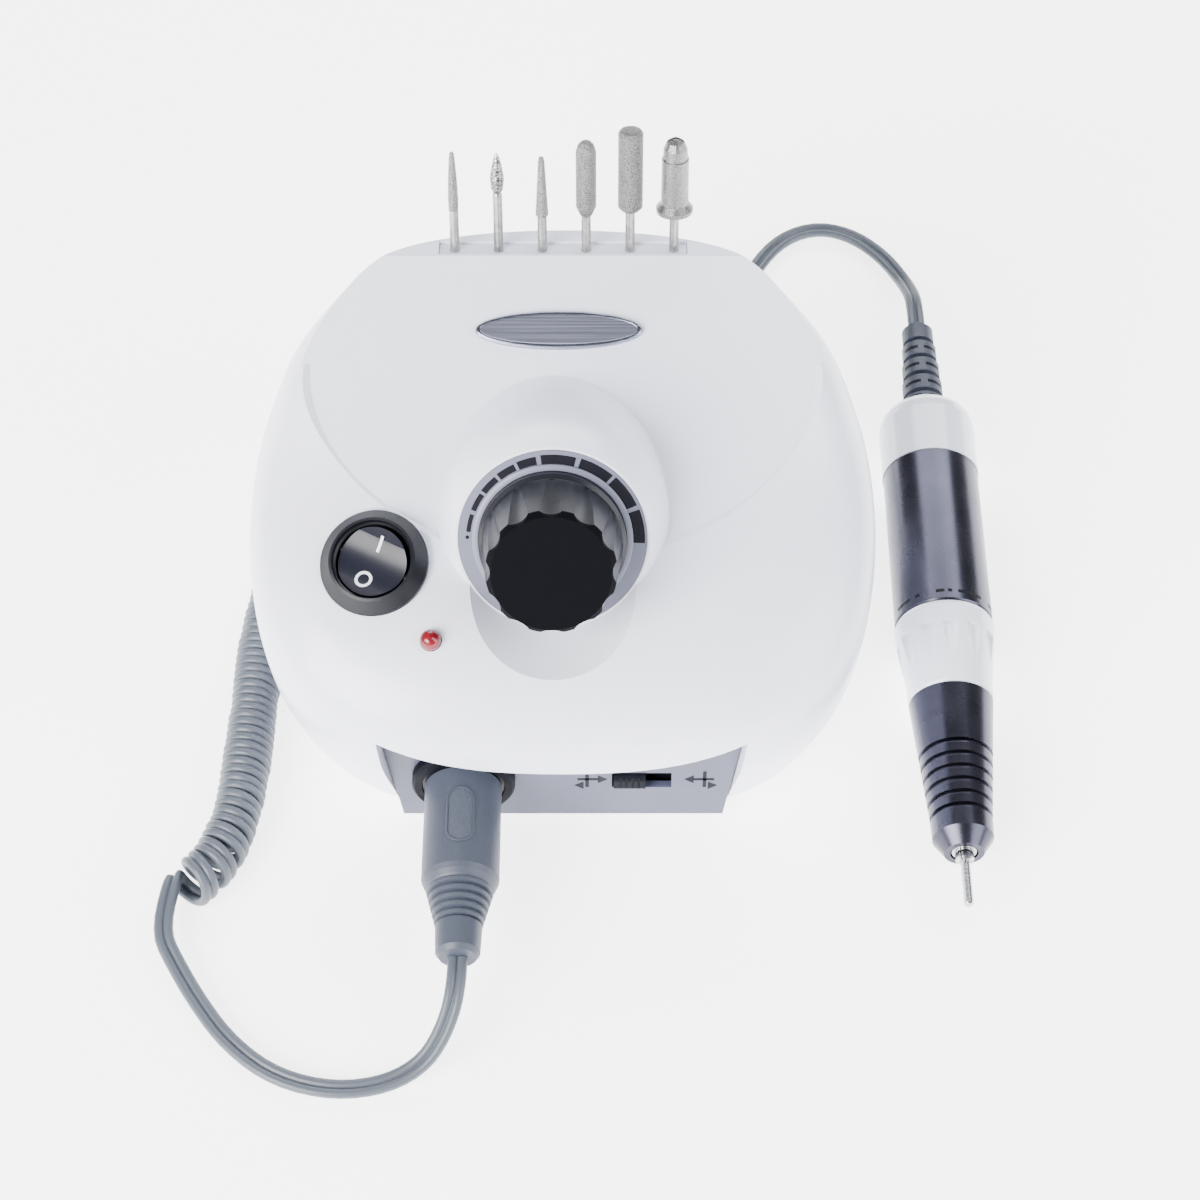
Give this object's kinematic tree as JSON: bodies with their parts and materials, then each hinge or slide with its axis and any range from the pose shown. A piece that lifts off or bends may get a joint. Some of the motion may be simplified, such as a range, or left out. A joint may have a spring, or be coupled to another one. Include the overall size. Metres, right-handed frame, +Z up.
{
  "type": "electric nail drill",
  "caption": "Mains control box with a speed dial, rocker switch and bit rack, and a pencil handpiece with a chuck on a curly cord.",
  "frame": {"origin": "on the table, under the middle of the box, the bits and the handpiece", "axes": "+X to the right seen from the front panel, +Y from the front panel to the rear, +Z up"},
  "size_m": [0.2092, 0.2823, 0.1215],
  "materials": {
    "white_shell": "glossy moulded ABS",
    "panel_grey": "satin moulded plastic",
    "black_plastic": "satin black moulded plastic",
    "knob_black": "glossy black",
    "badge_metal": "brushed, blank",
    "lamp_red": "translucent red",
    "rubber_black": "matte",
    "screw_steel": "zinc plated",
    "bit_steel": "polished",
    "cord_grey": "satin vinyl",
    "handpiece_white": "glossy",
    "gunmetal": "dark metallic",
    "bearing_steel": "ground",
    "motor_steel": "plated",
    "copper": "enamelled winding",
    "board_green": "solder mask",
    "magnet_black": "ferrite",
    "aluminium": "milled"
  },
  "bodies": {
    "root": {"badge": "badge_metal", "base_plate": "black_plastic", "base_screws": "screw_steel", "bit_rack": "panel_grey", "board_standoffs": "black_plastic", "circuit_board": "board_green", "cord_coil": "cord_grey", "cord_hand_lead": "cord_grey", "cord_plug_lead": "cord_grey", "dial_plate": "panel_grey", "dial_pod": "white_shell", "feet": "rubber_black", "front_panel": "panel_grey", "front_shell": "white_shell", "fuse_holder": "black_plastic", "handpiece_jack": "black_plastic", "handpiece_plug": "cord_grey", "heat_sink": "aluminium", "jack_nut": "black_plastic", "lamp": "lamp_red", "mains_gland": "black_plastic", "pedal_jack": "black_plastic", "plug_pins": "screw_steel", "power_transistor": "black_plastic", "rear_shell": "white_shell", "slide_switch_body": "black_plastic", "smoothing_capacitor": "black_plastic", "speed_potentiometer": "black_plastic", "switch_bezel": "black_plastic", "switch_body": "black_plastic", "transformer_bracket": "screw_steel", "transformer_coil": "copper", "transformer_core": "motor_steel"},
    "speed_knob": {"speed_knob": "knob_black", "pot_shaft": "screw_steel"},
    "power_rocker": {"power_rocker": "black_plastic"},
    "direction_slider": {"direction_slider": "black_plastic"},
    "handpiece": {"rear_cap": "handpiece_white", "strain_relief": "cord_grey", "motor_sleeve": "gunmetal", "nose_cone": "gunmetal", "inner_barrel": "bearing_steel", "front_bearing": "bearing_steel", "rear_bearing": "bearing_steel", "collet_spring": "bearing_steel", "motor_magnets": "magnet_black", "motor_can": "motor_steel", "brush_cap": "black_plastic"},
    "lock_grip": {"lock_grip": "handpiece_white"},
    "spindle": {"spindle": "bearing_steel", "collet": "bit_steel", "shaft_coupling": "black_plastic", "motor_rotor": "motor_steel"},
    "chuck_pin": {"chuck_pin": "bit_steel"},
    "bit_needle": {"bit_needle": "bit_steel"},
    "bit_flame": {"bit_flame": "bit_steel"},
    "bit_cone": {"bit_cone": "bit_steel"},
    "bit_barrel": {"bit_barrel": "bit_steel"},
    "bit_cylinder": {"bit_cylinder": "bit_steel"},
    "bit_band": {"bit_band": "bit_steel"}
  },
  "joints": [
    {"name": "speed_turn", "type": "hinge", "parent": "root", "child": "speed_knob", "pos_m": [-0.0187, -0.0296, 0.0736], "axis": [0, 0.866, -0.5], "range_deg": [0, 188]},
    {"name": "rocker_tip", "type": "hinge", "parent": "root", "child": "power_rocker", "pos_m": [-0.061, -0.0297, 0.0643], "axis": [-0.8898, 0.4523, 0.0606], "range_deg": [0, 12]},
    {"name": "direction_slide", "type": "slide", "parent": "root", "child": "direction_slider", "axis": [1, 0, 0], "range_m": [0, 0.0056]},
    {"name": "bit_needle_lift", "type": "slide", "parent": "root", "child": "bit_needle", "axis": [0, 0.2419, 0.9703], "range_m": [0, 0.035]},
    {"name": "bit_flame_lift", "type": "slide", "parent": "root", "child": "bit_flame", "axis": [0, 0.2419, 0.9703], "range_m": [0, 0.035]},
    {"name": "bit_cone_lift", "type": "slide", "parent": "root", "child": "bit_cone", "axis": [0, 0.2419, 0.9703], "range_m": [0, 0.035]},
    {"name": "bit_barrel_lift", "type": "slide", "parent": "root", "child": "bit_barrel", "axis": [0, 0.2419, 0.9703], "range_m": [0, 0.035]},
    {"name": "bit_cylinder_lift", "type": "slide", "parent": "root", "child": "bit_cylinder", "axis": [0, 0.2419, 0.9703], "range_m": [0, 0.035]},
    {"name": "bit_band_lift", "type": "slide", "parent": "root", "child": "bit_band", "axis": [0, 0.2419, 0.9703], "range_m": [0, 0.035]},
    {"name": "handpiece_lift", "type": "slide", "parent": "root", "child": "handpiece", "axis": [0, 0, 1], "range_m": [0, 0.05], "deforming": ["cord_hand_lead"]},
    {"name": "lock_turn", "type": "hinge", "parent": "handpiece", "child": "lock_grip", "pos_m": [0.0803, -0.0356, 0.0128], "axis": [0, 1, 0], "range_deg": [0, 45]},
    {"name": "spindle_spin", "type": "hinge", "parent": "handpiece", "child": "spindle", "pos_m": [0.0803, -0.0356, 0.0128], "axis": [0, 1, 0], "continuous": true},
    {"name": "pin_pull", "type": "slide", "parent": "spindle", "child": "chuck_pin", "axis": [0, -1, 0], "range_m": [0, 0.03]}
  ]
}
